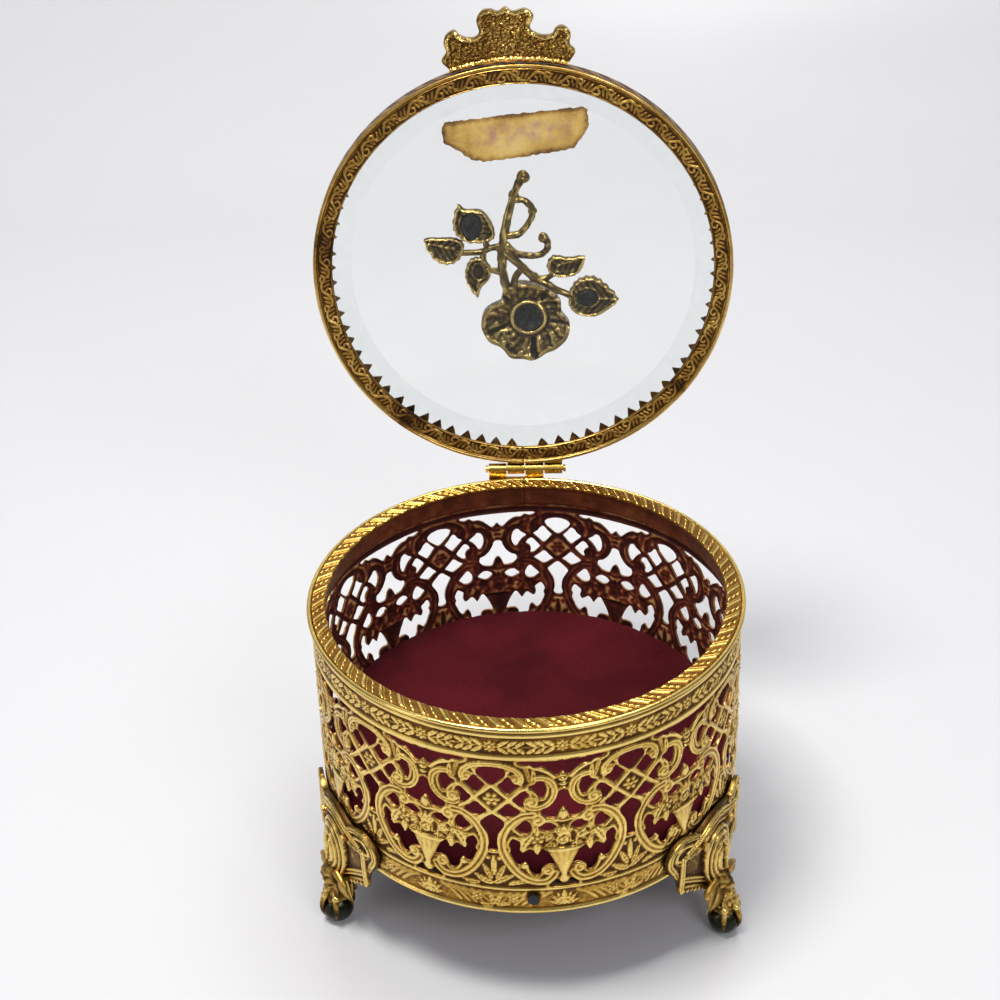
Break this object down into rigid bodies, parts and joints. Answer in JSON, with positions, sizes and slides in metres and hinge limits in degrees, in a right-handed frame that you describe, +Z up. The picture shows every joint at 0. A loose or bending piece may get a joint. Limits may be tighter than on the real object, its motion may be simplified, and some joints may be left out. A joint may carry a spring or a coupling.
{
  "type": "vanity trinket box",
  "caption": "Round gilt filigree trinket casket on claw-and-ball feet, velvet floor, hinged bevelled-glass lid with a cast rose spray, stored open.",
  "frame": {"origin": "under the middle of the stored open pose's bounding box, on the table the feet stand on", "axes": "+Z up, -Y out of the front of the box, +X to the right seen from the front; the lid hinge is at the back and its axis runs along +X"},
  "size_m": [0.1168, 0.136, 0.223],
  "materials": {
    "wall_brass": "gilt stamped brass, antique lacquer worn to a warm gold with dark brown recesses, copper-brown inside",
    "rim_brass": "gilt rope-twist rim with a polished bead",
    "board": "plain fibre board",
    "velvet": "burgundy velvet over a soft pad",
    "under_velvet": "burgundy velvet cover",
    "steel_tack": "dark blued steel",
    "foot_brass": "cast brass, dark antique finish with bright high points",
    "gilt_rivet": "gilt rivet",
    "hinge_brass": "satin gilt",
    "pin_brass": "drawn brass wire",
    "lid_brass": "gilt embossed strip, dark brown recesses",
    "glass": "clear bevelled glass",
    "label_paper": "aged blank paper label, faded purple smudges",
    "tab_brass": "rough-cast back, polished gilt edge",
    "rose_bronze": "dark antique brass with gold high points",
    "cement": "grey fixing cement"
  },
  "bodies": {
    "box": {"wall_band": "wall_brass", "rim_ring": "rim_brass", "base_board": "board", "floor_pad": "velvet", "under_cover": "under_velvet", "base_tack_1": "steel_tack", "base_tack_2": "steel_tack", "base_tack_3": "steel_tack", "foot_left": "foot_brass", "foot_left_rivet_1": "gilt_rivet", "foot_left_rivet_2": "gilt_rivet", "foot_right": "foot_brass", "foot_right_rivet_1": "gilt_rivet", "foot_right_rivet_2": "gilt_rivet", "foot_back": "foot_brass", "foot_back_rivet_1": "gilt_rivet", "foot_back_rivet_2": "gilt_rivet", "hinge_leaf_box": "hinge_brass", "hinge_pin": "pin_brass"},
    "lid": {"hinge_leaf_lid": "hinge_brass", "lid_frame": "lid_brass", "glass_disc": "glass", "paper_label": "label_paper", "thumb_tab": "tab_brass", "rose_spray": "rose_bronze", "cement_bloom": "cement", "cement_leaf_left": "cement", "cement_leaf_right": "cement"}
  },
  "joints": [
    {"name": "lid_hinge", "type": "hinge", "parent": "box", "child": "lid", "pos_m": [0.00041, 0.05011, 0.091], "axis": [1, 0, 0], "range_deg": [0, 96.4]}
  ]
}
